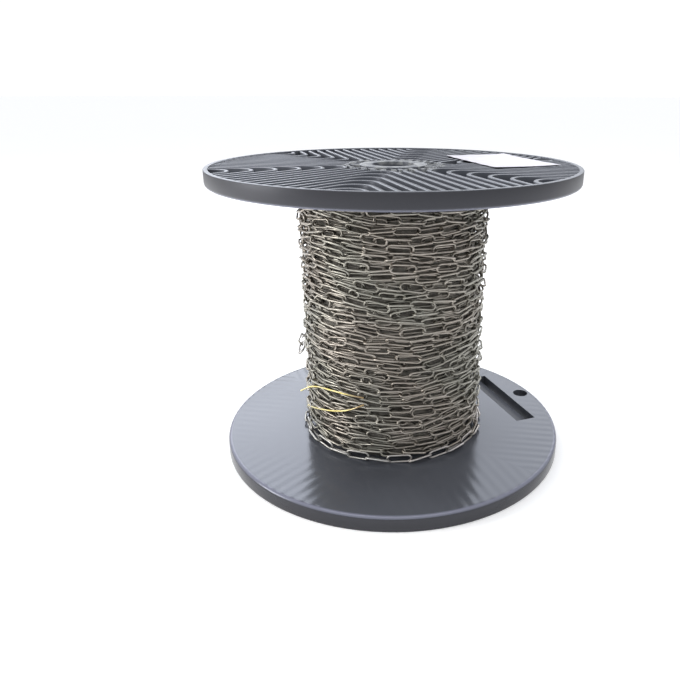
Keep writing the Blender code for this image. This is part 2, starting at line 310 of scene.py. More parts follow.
# %% Floor finish
floor_paint, tree, shader = new_material("floor_paint")
uneven = effect(tree, patches, Scale=1.5, Detail=3.0, Contrast=1.0)
tree.links.new(mix_colours(tree, uneven, (0.96, 0.96, 0.96, 1), (0.98, 0.98, 0.98, 1)), shader.inputs["Base Color"])
shader.inputs["Roughness"].default_value = 0.9
shader.inputs["Specular IOR Level"].default_value = 0.1
shader.inputs["Emission Color"].default_value = (1.0, 1.0, 1.0, 1.0)
shader.inputs["Emission Strength"].default_value = 0.1
floor_mesh.materials.append(floor_paint)
print("made", floor_paint.name)

# %% [markdown]
# ## Reel plastic
#
# The reel is one dark blue-grey thermoplastic.  Moulded faces are half glossy, with
# cloudy patches where the mould was touched.  Edges of ribs are rubbed paler, and the
# hub, where spindles and other reels scrape over it, is scuffed almost white.  The
# inner faces carry sink marks, so their reflections show faint streaks.

# %% Reel plastic
HALF_HEIGHT = (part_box("top_flange")[1].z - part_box("bottom_flange")[0].z) / 2
INNER_FACE_OFF_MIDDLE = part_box("top_flange")[0].z - HALF_HEIGHT
SCUFF_INNER = 22 * MM
SCUFF_OUTER = 56 * MM
FLANGE_RADIUS = 200 * MM
RIM_HIGHLIGHT_RADIUS = FLANGE_RADIUS - 2.2 * MM


def band(tree, value, centre, half_width, softness):
    """1 within a band of a value, 0 outside it, with soft sides."""
    off = calc(tree, "ABSOLUTE", calc(tree, "SUBTRACT", value, centre))
    return result(
        tree, "ShaderNodeMapRange",
        {"Value": off, "From Min": half_width - softness, "From Max": half_width + softness, "To Min": 1.0, "To Max": 0.0},
    )


def reel_plastic(name, first_line, smoothest, dullest):
    material, tree, shader = new_material(name)
    place = result(tree, "ShaderNodeTexCoord", output="Object")
    axes = add(tree, "ShaderNodeSeparateXYZ", {0: place}).outputs
    radius = vector_calc(tree, "LENGTH", vector_calc(tree, "MULTIPLY", place, (1.0, 1.0, 0.0)), output="Value")
    off_middle = calc(tree, "ABSOLUTE", calc(tree, "SUBTRACT", axes["Z"], HALF_HEIGHT))

    clouds = effect(tree, patches, Scale=11.0, Detail=3.0, Contrast=2.0)
    colour = mix_colours(tree, clouds, (0.066, 0.070, 0.082, 1), (0.084, 0.089, 0.103, 1))
    # Painted highlight: a pale lilac line on the rounded edge of the inner face, near the rim, where the overhead strip
    # shows.
    painted_rim_highlight = calc(tree, "MULTIPLY", band(tree, radius, RIM_HIGHLIGHT_RADIUS, 1.5 * MM, 0.8 * MM),
                    calc(tree, "LESS_THAN", off_middle, INNER_FACE_OFF_MIDDLE + 3.5 * MM))
    colour = mix_colours(tree, calc(tree, "MULTIPLY", painted_rim_highlight, 0.55), colour, (0.24, 0.245, 0.32, 1))
    # Painted shade: the outer wall of the rim is coloured darker and more neutral than the rest of the same plastic.
    painted_rim_side_shade = band(tree, radius, FLANGE_RADIUS, 0.5 * MM, 0.3 * MM)
    colour = mix_colours(tree, painted_rim_side_shade, colour, (0.024, 0.023, 0.025, 1))
    worn = effect(tree, edge_wear, Radius=0.8 * MM, Strength=1.0)
    uneven = between(tree, effect(tree, patches, Scale=60.0, Detail=3.0, Contrast=3.0), 0.35, 1.0)
    colour = mix_colours(tree, calc(tree, "MULTIPLY", worn, uneven), colour, (0.22, 0.225, 0.26, 1))

    hub = band(tree, radius, (SCUFF_INNER + SCUFF_OUTER) / 2, (SCUFF_OUTER - SCUFF_INNER) / 2, 2 * MM)
    outside = calc(tree, "GREATER_THAN", off_middle, HALF_HEIGHT - 3.5 * MM)
    blotches = effect(tree, patches, Scale=120.0, Detail=5.0, Contrast=7.0)
    scuff = calc(tree, "MULTIPLY", calc(tree, "MULTIPLY", hub, outside), between(tree, blotches, 0.0, 0.55))
    colour = mix_colours(tree, scuff, colour, (0.42, 0.43, 0.42, 1))
    tree.links.new(colour, shader.inputs["Base Color"])

    roughness = calc(tree, "ADD", between(tree, clouds, smoothest, dullest), calc(tree, "MULTIPLY", scuff, 0.4), clamp=True)
    tree.links.new(roughness, shader.inputs["Roughness"])
    shader.inputs["IOR"].default_value = 1.52
    shader.inputs["Specular Tint"].default_value = (0.84, 0.88, 1.0, 1.0)

    inner_face = band(tree, off_middle, INNER_FACE_OFF_MIDDLE, 0.5 * MM, 0.2 * MM)
    near_rim = result(tree, "ShaderNodeMapRange", {"Value": radius, "From Min": 120 * MM, "From Max": 185 * MM})
    ridges = effect(tree, sink_marks, Pitch=RIB_PITCH, First_Line=first_line)
    strength = between(tree, effect(tree, patches, Scale=6.0, Detail=0.0, Contrast=4.0), 0.35, 1.2)
    fading = calc(tree, "MULTIPLY", near_rim, strength)
    marks = calc(tree, "MULTIPLY", ridges, calc(tree, "MULTIPLY", inner_face, fading))
    ripple = add(tree, "ShaderNodeBump", {"Height": marks, "Strength": 0.6, "Distance": 0.14 * MM}).outputs[0]
    grain = effect(tree, patches, Scale=900.0, Detail=2.0, Contrast=1.5)
    bump = add(tree, "ShaderNodeBump", {"Height": grain, "Strength": 0.2, "Distance": 0.03 * MM, "Normal": ripple})
    tree.links.new(bump.outputs[0], shader.inputs["Normal"])
    return material


upper_plastic = reel_plastic("upper_plastic", SECTOR_LINE, 0.36, 0.46)
lower_plastic = reel_plastic("lower_plastic", SECTOR_LINE + BOTTOM_TURN, 0.16, 0.24)
print("made", upper_plastic.name, "and", lower_plastic.name)

# %% [markdown]
# ## Steel, tie wire and label finishes
#
# The links are bright steel that has been handled: each has its own shade, the bends
# are duller than the straight legs because they were worked more, and a very slow
# drift of tint runs over the whole winding.  Each link brings two numbers with it,
# stored on its mesh: *shade*, one random value for a whole link, and *bend*, which is
# 1 round the ends and 0 along the legs.

# %% Steel, tie wire and label finishes
def attribute(tree, name):
    return result(tree, "ShaderNodeAttribute", output="Fac", attribute_name=name)


def link_steel(name, dull, bright):
    material, tree, shader = new_material(name)
    shade = attribute(tree, "shade")
    bend = attribute(tree, "bend")
    warm_drift = effect(tree, patches, Scale=13.0, Detail=1.0, Contrast=5.0)
    stains = effect(tree, patches, Scale=160.0, Detail=3.0, Contrast=3.5)

    colour = mix_colours(tree, shade, dull, bright)
    tint = mix_colours(tree, warm_drift, (0.33, 0.35, 0.30, 1), (0.42, 0.345, 0.30, 1))
    colour = mix_colours(tree, 0.28, colour, tint)
    grime = calc(tree, "MULTIPLY", between(tree, stains, 0.0, 0.55), between(tree, bend, 0.35, 1.0))
    colour = mix_colours(tree, grime, colour, (0.13, 0.12, 0.105, 1))
    tree.links.new(colour, shader.inputs["Base Color"])
    shader.inputs["Metallic"].default_value = 1.0

    roughness = calc(tree, "ADD", between(tree, shade, 0.28, 0.44), between(tree, stains, 0.0, 0.18))
    tree.links.new(roughness, shader.inputs["Roughness"])
    pits = effect(tree, patches, Scale=700.0, Detail=2.0, Contrast=2.0)
    bump = add(tree, "ShaderNodeBump", {"Height": pits, "Strength": 0.4, "Distance": 0.05 * MM})
    tree.links.new(bump.outputs[0], shader.inputs["Normal"])
    return material


def tie_finish():
    material, tree, shader = new_material("tie_finish")
    stains = effect(tree, patches, Scale=110.0, Detail=2.0, Contrast=4.0)
    far_end = result(
        tree, "ShaderNodeMapRange", {"Value": attribute(tree, "along"), "From Min": 0.68, "From Max": 0.9}
    )
    colour = mix_colours(tree, stains, (0.95, 0.86, 0.48, 1), (0.84, 0.70, 0.24, 1))
    colour = mix_colours(tree, calc(tree, "MULTIPLY", far_end, 0.8), colour, (0.20, 0.11, 0.07, 1))
    tree.links.new(colour, shader.inputs["Base Color"])
    shader.inputs["Metallic"].default_value = 0.45
    tree.links.new(between(tree, stains, 0.3, 0.5), shader.inputs["Roughness"])
    bump = add(tree, "ShaderNodeBump", {"Height": stains, "Strength": 0.3, "Distance": 0.1 * MM})
    tree.links.new(bump.outputs[0], shader.inputs["Normal"])
    return material


def label_paper():
    material, tree, shader = new_material("label_paper")
    fibres = effect(tree, patches, Scale=350.0, Detail=5.0, Contrast=2.0)
    thumbed = effect(tree, patches, Scale=28.0, Detail=3.0, Contrast=2.5)
    colour = mix_colours(tree, fibres, (0.48, 0.46, 0.51, 1), (0.54, 0.52, 0.57, 1))
    colour = mix_colours(tree, calc(tree, "MULTIPLY", thumbed, 0.35), colour, (0.42, 0.41, 0.46, 1))
    tree.links.new(colour, shader.inputs["Base Color"])
    tree.links.new(between(tree, thumbed, 0.32, 0.5), shader.inputs["Roughness"])
    bump = add(tree, "ShaderNodeBump", {"Height": fibres, "Strength": 0.25, "Distance": 0.05 * MM})
    tree.links.new(bump.outputs[0], shader.inputs["Normal"])
    return material


steel = link_steel("link_steel", (0.33, 0.31, 0.27, 1), (0.50, 0.475, 0.425, 1))
# Painted light: a brighter copy of the link steel, for the bright highlights on the foot links and the loose last turn.
painted_lit_steel = link_steel("painted_lit_link_steel", (0.50, 0.48, 0.45, 1), (0.78, 0.76, 0.75, 1))
# Painted shade: a slightly darker copy of the link steel, for the layer beneath.
shaded_deep_steel = link_steel("shaded_deep_link_steel", (0.32, 0.30, 0.265, 1), (0.46, 0.435, 0.39, 1))
tie = tie_finish()
paper = label_paper()
print("made", ", ".join(material.name for material in (steel, painted_lit_steel, shaded_deep_steel, tie, paper)))

# %% [markdown]
# ## The ribs of a flange
#
# The outside of each flange is a plate stiffened by ribs.  Seen from above, the plate
# has six sectors, and in each one the ribs run parallel to the sector's middle line.
# Where two sectors meet, the ribs of both join in rounded V shapes, nested like
# chevrons.  The useful thing to see is that every V is the *same* V, slid outward
# along the line between two sectors.  So the tree makes one long V and one long
# straight rib, places copies of them, and then trims everything with one disc.

# %% Rib tree
def rib_section(tree, width, low, high):
    """The section of a rib: a tall rectangle with its corners rounded off."""
    height = calc(tree, "SUBTRACT", high, low)
    oblong = result(tree, "GeometryNodeCurvePrimitiveQuadrilateral", {"Width": width, "Height": height})
    return result(
        tree, "GeometryNodeFilletCurve", {"Curve": oblong, "Count": 3, "Radius": 0.9 * MM}, mode="POLY"
    )


def rib_solid(tree, line, section, low, high):
    """Sweep the section along a flat line, and lift it so that it reaches from low to high."""
    swept = result(tree, "GeometryNodeCurveToMesh", {"Curve": line, "Profile Curve": section, "Fill Caps": True})
    middle = calc(tree, "MULTIPLY", calc(tree, "ADD", low, high), 0.5)
    lift = result(tree, "ShaderNodeCombineXYZ", {"Z": middle})
    return result(tree, "GeometryNodeTransform", {"Geometry": swept, "Translation": lift})


def turned_copies(tree, solid, count, place, angle):
    """Copies of a solid, each at its own place and turned about Z by its own angle."""
    marks = result(tree, "GeometryNodeMeshLine", {"Count": count})
    marks = result(tree, "GeometryNodeSetPosition", {"Geometry": marks, "Position": place})
    turn = result(tree, "FunctionNodeEulerToRotation", {0: result(tree, "ShaderNodeCombineXYZ", {"Z": angle})})
    return result(tree, "GeometryNodeInstanceOnPoints", {"Points": marks, "Instance": solid, "Rotation": turn})


def around(tree, radius, angle):
    x = calc(tree, "MULTIPLY", radius, calc(tree, "COSINE", angle))
    y = calc(tree, "MULTIPLY", radius, calc(tree, "SINE", angle))
    return result(tree, "ShaderNodeCombineXYZ", {"X": x, "Y": y})


def rib_tree():
    tree, given, gives = new_tree(
        "moulded_ribs", "GeometryNodeTree",
        [("Sectors", "Int"), ("Vs", "Int"), ("First Line", "Float"), ("Pitch", "Float"), ("V Round", "Float"),
         ("Width", "Float"), ("Low", "Float"), ("High", "Float"), ("Hub", "Float"), ("Reach", "Float"),
         ("Material", "Material")],
        [("Geometry", "Geometry")],
    )
    section = rib_section(tree, given["Width"], given["Low"], given["High"])
    index = result(tree, "GeometryNodeInputIndex")
    sector_angle = calc(tree, "DIVIDE", math.tau, given["Sectors"])
    half = calc(tree, "MULTIPLY", sector_angle, 0.5)
    long_leg = calc(tree, "MULTIPLY", given["Reach"], 1.5)

    # One V: its point at the origin, its legs opening outward along +X
    three = result(tree, "GeometryNodeMeshLine", {"Count": 3})
    side = calc(tree, "SUBTRACT", index, 1.0)
    leg_x = calc(tree, "MULTIPLY", calc(tree, "ABSOLUTE", side), calc(tree, "MULTIPLY", long_leg, calc(tree, "COSINE", half)))
    leg_y = calc(tree, "MULTIPLY", side, calc(tree, "MULTIPLY", long_leg, calc(tree, "SINE", half)))
    corner = result(tree, "ShaderNodeCombineXYZ", {"X": leg_x, "Y": leg_y})
    bent = result(tree, "GeometryNodeMeshToCurve", {0: result(tree, "GeometryNodeSetPosition", {"Geometry": three, "Position": corner})})
    bent = result(tree, "GeometryNodeFilletCurve", {"Curve": bent, "Count": 8, "Radius": given["V Round"]}, mode="POLY")
    bent = result(tree, "GeometryNodeSetCurveNormal", {"Curve": bent}, mode="Z_UP")
    one_v = rib_solid(tree, bent, section, given["Low"], given["High"])

    # Every V of every sector line: copy number = sector line * Vs + V number
    count = calc(tree, "MULTIPLY", given["Sectors"], given["Vs"])
    number = calc(tree, "MODULO", index, given["Vs"])
    line = calc(tree, "FLOOR", calc(tree, "DIVIDE", index, given["Vs"]))
    angle = calc(tree, "ADD", given["First Line"], calc(tree, "MULTIPLY", line, sector_angle))
    offset = calc(tree, "MULTIPLY", calc(tree, "ADD", number, 1.5), given["Pitch"])
    out = calc(tree, "DIVIDE", offset, calc(tree, "SINE", half))
    all_vs = turned_copies(tree, one_v, count, around(tree, out, angle), angle)

    # Two straight ribs beside the middle line of every sector
    straight = result(
        tree, "GeometryNodeCurvePrimitiveLine",
        {"Start": result(tree, "ShaderNodeCombineXYZ", {"X": given["Hub"]}),
         "End": result(tree, "ShaderNodeCombineXYZ", {"X": long_leg})},
    )
    straight = result(tree, "GeometryNodeSetCurveNormal", {"Curve": straight}, mode="Z_UP")
    one_straight = rib_solid(tree, straight, section, given["Low"], given["High"])
    pair = calc(tree, "SUBTRACT", calc(tree, "MODULO", index, 2.0), 0.5)
    sector = calc(tree, "FLOOR", calc(tree, "DIVIDE", index, 2.0))
    middle = calc(tree, "ADD", given["First Line"], calc(tree, "MULTIPLY", calc(tree, "ADD", sector, 0.5), sector_angle))
    sideways = calc(tree, "ADD", middle, math.pi / 2)
    shifted = around(tree, calc(tree, "MULTIPLY", pair, given["Pitch"]), sideways)
    all_straight = turned_copies(tree, one_straight, calc(tree, "MULTIPLY", given["Sectors"], 2.0), shifted, middle)

    joined = result(tree, "GeometryNodeJoinGeometry", {0: [all_vs, all_straight]})
    solid = result(tree, "GeometryNodeRealizeInstances", {"Geometry": joined})
    disc = result(tree, "GeometryNodeMeshCylinder", {"Vertices": 180, "Radius": given["Reach"], "Depth": 0.1})
    trimmed = result(tree, "GeometryNodeMeshBoolean", {1: [solid, disc]}, operation="INTERSECT", solver="EXACT")
    painted = result(tree, "GeometryNodeSetMaterial", {"Geometry": trimmed, "Material": given["Material"]})
    tree.links.new(painted, gives["Geometry"])
    return tree


def grown(name, tree, values):
    """Run a geometry tree on an empty object and keep the result as a plain mesh at the origin."""
    host = bpy.data.objects.new(name + "_host", bpy.data.meshes.new(name + "_host"))
    bpy.context.scene.collection.objects.link(host)
    recipe = host.modifiers.new(tree.name, "NODES")
    recipe.node_group = tree
    for item in tree.interface.items_tree:
        if item.in_out == "INPUT":
            recipe[item.identifier] = values[item.name]
    bpy.context.view_layer.update()
    depsgraph = bpy.context.evaluated_depsgraph_get()
    mesh = bpy.data.meshes.new_from_object(
        host.evaluated_get(depsgraph), preserve_all_data_layers=True, depsgraph=depsgraph
    )
    bpy.data.objects.remove(host)
    mesh.name = name
    piece = bpy.data.objects.new(name, mesh)
    bpy.context.scene.collection.objects.link(piece)
    return piece


FLANGE_DEPTH = 17 * MM
PLATE = 4 * MM
RIM_WALL = 5 * MM
COLLAR_RADIUS = 37 * MM
RIB_TOP = FLANGE_DEPTH - 1.0 * MM

ribs = grown("ribs", rib_tree(), {
    "Sectors": SECTORS, "Vs": 6, "First Line": SECTOR_LINE, "Pitch": RIB_PITCH, "V Round": 17.5 * MM,
    "Width": 4.2 * MM, "Low": PLATE / 2, "High": RIB_TOP, "Hub": 0.8 * COLLAR_RADIUS,
    "Reach": FLANGE_RADIUS - RIM_WALL / 2, "Material": upper_plastic,
})
print("ribs:", len(ribs.data.polygons), "faces")

# %% [markdown]
# ## The flange moulding
#
# The rest of a flange is turned: collar, toothed hub ring, plate and rim, all from
# one section spun round the axis.  The real mould has small rounded edges everywhere,
# and those are what catch the light, so the section is drawn with arcs at its
# corners.  Ribs, the frame of the hand slot and the boss of the driver hole are then
# joined on, and the slot, the hole and the notches between the hub's teeth cut away.
# Both flanges are the same moulding.  The lower one is turned over about the line of
# its slot, and sits on the barrel a little further round.

# %% Flange moulding
ROUND_STEPS = 180
BORE_RADIUS = 23.5 * MM
HUB_RING_INNER = 48 * MM
HUB_RING_OUTER = 53 * MM
HUB_RING_TOP = FLANGE_DEPTH - 0.6 * MM
TEETH = 30
SLOT_CENTRE = 152.6 * MM
SLOT_WIDTH = 26 * MM
SLOT_LENGTH = 130 * MM
SLOT_RAMP = 18.6 * MM
SLOT_RAMP_DEPTH = 6 * MM
DRIVER_CENTRE = 184.5 * MM
DRIVER_RADIUS = 9.5 * MM


def polar(radius, angle):
    return Vector((radius * math.cos(angle), radius * math.sin(angle)))


def rounded(corners, radii, steps=3):
    """A closed outline with an arc of its own radius at each corner."""
    outline = []
    for number, (corner, radius) in enumerate(zip(corners, radii)):
        if radius == 0:
            outline.append(corner)
            continue
        back = (corners[number - 1] - corner).normalized()
        ahead = (corners[(number + 1) % len(corners)] - corner).normalized()
        half_angle = back.angle(ahead) / 2
        centre = corner + (back + ahead).normalized() * (radius / math.sin(half_angle))
        first = corner + back * (radius / math.tan(half_angle)) - centre
        last = corner + ahead * (radius / math.tan(half_angle)) - centre
        sweep = first.angle_signed(last)
        outline += [centre + first @ Matrix.Rotation(sweep * step / steps, 2) for step in range(steps + 1)]
    return outline


def flange_section():
    """Half section of the turned part, as (radius, height), going round it once.

    The last two corners lie on the flat inner face.  They keep the rounding of its
    edges from bending the reflections on the whole plate.
    """
    edge = FLANGE_RADIUS - RIM_WALL
    drawn = [
        (BORE_RADIUS, 0.0, 0.8), (BORE_RADIUS, FLANGE_DEPTH, 0.8), (COLLAR_RADIUS, FLANGE_DEPTH, 0.8),
        (COLLAR_RADIUS, PLATE, 0.8), (HUB_RING_INNER, PLATE, 0.6), (HUB_RING_INNER, HUB_RING_TOP, 0.5),
        (HUB_RING_OUTER, HUB_RING_TOP, 0.5), (HUB_RING_OUTER, PLATE, 0.6), (edge, PLATE, 1.0),
        (edge, FLANGE_DEPTH, 0.9), (FLANGE_RADIUS, FLANGE_DEPTH, 1.2), (FLANGE_RADIUS, 0.0, 4.0),
        (FLANGE_RADIUS - 6 * MM, 0.0, 0.0), (BORE_RADIUS + 2 * MM, 0.0, 0.0),
    ]
    corners = [Vector((radius, height)) for radius, height, _ in drawn]
    return rounded(corners, [size * MM for _, _, size in drawn], 4)


def turned(name, section, steps):
    """A closed section spun once about the Z axis."""
    count = len(section)
    mesh = bpy.data.meshes.new(name)
    mesh.from_pydata([(p.x, 0.0, p.y) for p in section], [(i, (i + 1) % count) for i in range(count)], [])
    piece = bpy.data.objects.new(name, mesh)
    bpy.context.scene.collection.objects.link(piece)
    screw = piece.modifiers.new("spin", "SCREW")
    screw.steps = steps
    screw.render_steps = steps
    screw.use_merge_vertices = True
    screw.merge_threshold = 0.01 * MM
    return piece


def finished_mesh(piece):
    """The evaluated mesh of a piece with doubles merged and every face turned outward."""
    bpy.context.view_layer.update()
    depsgraph = bpy.context.evaluated_depsgraph_get()
    mesh = bpy.data.meshes.new_from_object(piece.evaluated_get(depsgraph), depsgraph=depsgraph)
    mesh.transform(piece.matrix_world)
    cleaner = bmesh.new()
    cleaner.from_mesh(mesh)
    bmesh.ops.remove_doubles(cleaner, verts=cleaner.verts, dist=0.002 * MM)
    bmesh.ops.recalc_face_normals(cleaner, faces=cleaner.faces)
    cleaner.to_mesh(mesh)
    cleaner.free()
    return mesh


def raised(name, outlines, low, high, softened=0.0):
    """Flat outlines filled and raised from low to high, with softened edges if asked."""
    curve = bpy.data.curves.new(name, "CURVE")
    curve.dimensions = "2D"
    curve.fill_mode = "BOTH"
    curve.extrude = (high - low) / 2 - softened
    curve.bevel_depth = softened
    curve.bevel_resolution = 2
    curve.offset = -softened
    for outline in outlines:
        spline = curve.splines.new("POLY")
        spline.points.add(len(outline) - 1)
        for point, place in zip(spline.points, outline):
            point.co = (place.x, place.y, 0.0, 1.0)
        spline.use_cyclic_u = True
    drawn = bpy.data.objects.new(name, curve)
    drawn.location.z = (low + high) / 2
    bpy.context.scene.collection.objects.link(drawn)
    piece = bpy.data.objects.new(name, finished_mesh(drawn))
    bpy.context.scene.collection.objects.link(piece)
    bpy.data.objects.remove(drawn)
    return piece


def rectangle(centre, length_out, length_across, line):
    """The corners of a rectangle that lies along a radial line."""
    out = polar(1.0, line)
    across = Vector((-out.y, out.x))
    signs = [(-1, -1), (1, -1), (1, 1), (-1, 1)]
    return [centre + out * (a * length_out / 2) + across * (b * length_across / 2) for a, b in signs]


def circle(centre, radius, steps):
    return [centre + polar(radius, math.tau * step / steps) for step in range(steps)]


def slot_space():
    """What the hand slot takes away, with a ramp on the side of the barrel."""
    inner = SLOT_CENTRE - SLOT_WIDTH / 2
    outer = SLOT_CENTRE + SLOT_WIDTH / 2
    section = [
        Vector((inner - 1 * MM, -1 * MM)),
        Vector((outer, -1 * MM)),
        Vector((outer, FLANGE_DEPTH + 1 * MM)),
        Vector((inner + SLOT_RAMP, FLANGE_DEPTH + 1 * MM)),
        Vector((inner + SLOT_RAMP, SLOT_RAMP_DEPTH)),
        Vector((inner, 0.0)),
    ]
    space = raised("slot_space", [section], -SLOT_LENGTH / 2, SLOT_LENGTH / 2)
    space.data.transform(Matrix.Rotation(SECTOR_LINE, 4, "Z") @ Matrix.Rotation(math.pi / 2, 4, "X"))
    return space


def combine(body, tool, operation):
    change = body.modifiers.new(tool.name, "BOOLEAN")
    change.operation = operation
    change.solver = "EXACT"
    change.object = tool
    return tool


def smooth(mesh, degrees):
    mesh.polygons.foreach_set("use_smooth", [True] * len(mesh.polygons))
    mesh.set_sharp_from_angle(angle=math.radians(degrees))


def keep_plate_flat(mesh):
    """Edges cut into the smooth inner face stay sharp, so that its reflections stay straight."""
    for edge in mesh.edges:
        ends = [mesh.vertices[index].co for index in edge.vertices]
        if all(abs(end.z) < 0.01 * MM and end.xy.length < FLANGE_RADIUS - 7 * MM for end in ends):
            edge.use_edge_sharp = True


def flange_moulding():
    body = turned("moulding", flange_section(), ROUND_STEPS)
    slot_middle = polar(SLOT_CENTRE, SECTOR_LINE)
    driver_middle = polar(DRIVER_CENTRE, SECTOR_LINE)
    wall = 3 * MM
    frame_outline = rectangle(slot_middle, SLOT_WIDTH + 2 * wall, SLOT_LENGTH + 2 * wall, SECTOR_LINE)
    notch_middle = (HUB_RING_INNER + HUB_RING_OUTER) / 2
    notches = []
    for tooth in range(TEETH):
        angle = SECTOR_LINE + math.tau * (tooth + 0.5) / TEETH
        notches.append(rectangle(polar(notch_middle, angle), 8 * MM, math.pi * notch_middle / TEETH, angle))

    tools = [
        combine(body, ribs, "UNION"),
        combine(body, raised("slot_frame", [frame_outline], 2 * MM, FLANGE_DEPTH - 0.8 * MM, 0.5 * MM), "UNION"),
        combine(body, raised("driver_boss", [circle(driver_middle, 12 * MM, 40)], 2.4 * MM, RIB_TOP - 0.4 * MM, 0.5 * MM), "UNION"),
        combine(body, slot_space(), "DIFFERENCE"),
        combine(body, raised("driver_space", [circle(driver_middle, DRIVER_RADIUS, 40)], -1 * MM, 18 * MM), "DIFFERENCE"),
        combine(body, raised("notches", notches, HUB_RING_TOP - 2.5 * MM, FLANGE_DEPTH), "DIFFERENCE"),
    ]
    mesh = finished_mesh(body)
    for thing in [body] + tools:
        bpy.data.objects.remove(thing)
    smooth(mesh, 32)
    keep_plate_flat(mesh)
    mesh.materials.clear()
    return mesh


INNER_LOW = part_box("bottom_flange")[1].z
INNER_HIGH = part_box("top_flange")[0].z


def place_piece(name, mesh, slot, *nodes):
    """Put a finished mesh in the scene, riding on the reel and standing for its CAD nodes."""
    mesh.name = name
    piece = bpy.data.objects.new(name, mesh)
    bpy.context.scene.collection.objects.link(piece)
    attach(piece, "root")
    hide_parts(*nodes)
    print(name, "has", len(mesh.polygons), "faces")
    return piece


upper = flange_moulding()
lower = upper.copy()
upper.transform(Matrix.Translation((0.0, 0.0, INNER_HIGH)))
upper.materials.append(upper_plastic)
turn_over = Matrix.Rotation(math.pi, 4, polar(1.0, SECTOR_LINE).to_3d())
turn_round = Matrix.Rotation(BOTTOM_TURN, 4, "Z")
lower.transform(Matrix.Translation((0.0, 0.0, INNER_LOW)) @ turn_round @ turn_over)
lower.materials.append(lower_plastic)
place_piece("top_flange_moulding", upper, "top_flange", "top_flange")
place_piece("bottom_flange_moulding", lower, "bottom_flange", "bottom_flange")

# %% [markdown]
# ## One link
#
# A link is a ring of wire: two straight legs and two half-round ends.  It is swept in
# plain mesh code, ring by ring, because that keeps it down to a few dozen faces, and
# because each ring can be told how far round a bend it is.  The loose links that
# stand off the winding also get the small collar that the weld leaves on one leg.

# %% One link
WIRE_RADIUS = 1.25 * MM
LINK_LENGTH = 29 * MM
LINK_WIDTH = 10.5 * MM
LINK_PITCH = 23.5 * MM


def link_rings(end_steps, weld):
    """Round the link once: (middle, outward angle, bend, thickness) of every ring."""
    end_radius = LINK_WIDTH / 2 - WIRE_RADIUS
    reach = LINK_LENGTH / 2 - WIRE_RADIUS - end_radius
    rings = []
    for side in (1, -1):
        for step in range(end_steps + 1):
            swing = -math.pi / 2 + math.pi * step / end_steps
            angle = swing if side > 0 else swing + math.pi
            middle = Vector((side * reach, 0.0)) + polar(end_radius, angle)
            rings.append((middle, angle, math.cos(swing), 1.0))
        if weld and side > 0:
            for shift, thickness in ((1.1, 1.0), (0.5, 1.28), (-0.5, 1.28), (-1.1, 1.0)):
                rings.append((Vector((shift * MM, end_radius)), math.pi / 2, 0.0, thickness))
    return rings


def link_object(name, end_steps, sides, weld=False):
    rings = link_rings(end_steps, weld)
    corners = []
    for middle, angle, _, thickness in rings:
        for side in range(sides):
            turn = math.tau * side / sides
            out = polar(WIRE_RADIUS * thickness * math.cos(turn), angle)
            corners.append((middle.x + out.x, middle.y + out.y, WIRE_RADIUS * thickness * math.sin(turn)))
    faces = []
    for ring in range(len(rings)):
        near, far = ring * sides, (ring + 1) % len(rings) * sides
        for side in range(sides):
            beside = (side + 1) % sides
            faces.append((near + side, far + side, far + beside, near + beside))
    mesh = bpy.data.meshes.new(name)
    mesh.from_pydata(corners, [], faces)
    bend = mesh.attributes.new("bend", "FLOAT", "POINT")
    bend.data.foreach_set("value", [ring[2] for ring in rings for _ in range(sides)])
    mesh.polygons.foreach_set("use_smooth", [True] * len(faces))
    piece = bpy.data.objects.new(name, mesh)
    bpy.context.scene.collection.objects.link(piece)
    print(name, "has", len(faces), "faces")
    return piece


wound_link = link_object("wound_link", 5, 6)
deep_link = link_object("deep_link", 4, 5)
loose_link = link_object("loose_link", 8, 10, weld=True)

# %% [markdown]
# ## The winding
#
# A wound chain is a helix of links, and in a chain every second link is turned a
# quarter round its length.  That is the whole rule, so a geometry tree can lay the
# chain: a spiral is bent a little by noise, cut into as many points as there are
# links, and each point gets a link that follows the spiral, rolled by its own angle.
# The noise matters.  Without it the rows are as even as a screw thread, and real
# chain wanders up and down, in and out, as each turn finds its seat in the one below.

# %% Winding tree
def centred_noise(tree, place, size, seed):
    """Three smooth noises from -1 to 1, as a vector, that change over a given size."""
    scale = calc(tree, "DIVIDE", 1.0, size)
    cloud = result(
        tree, "ShaderNodeTexNoise",
        {"Vector": place, "W": seed, "Scale": scale, "Detail": 1.0}, "Color", noise_dimensions="4D",
    )
    return scaled(tree, vector_calc(tree, "SUBTRACT", cloud, (0.5, 0.5, 0.5)), 2.6)


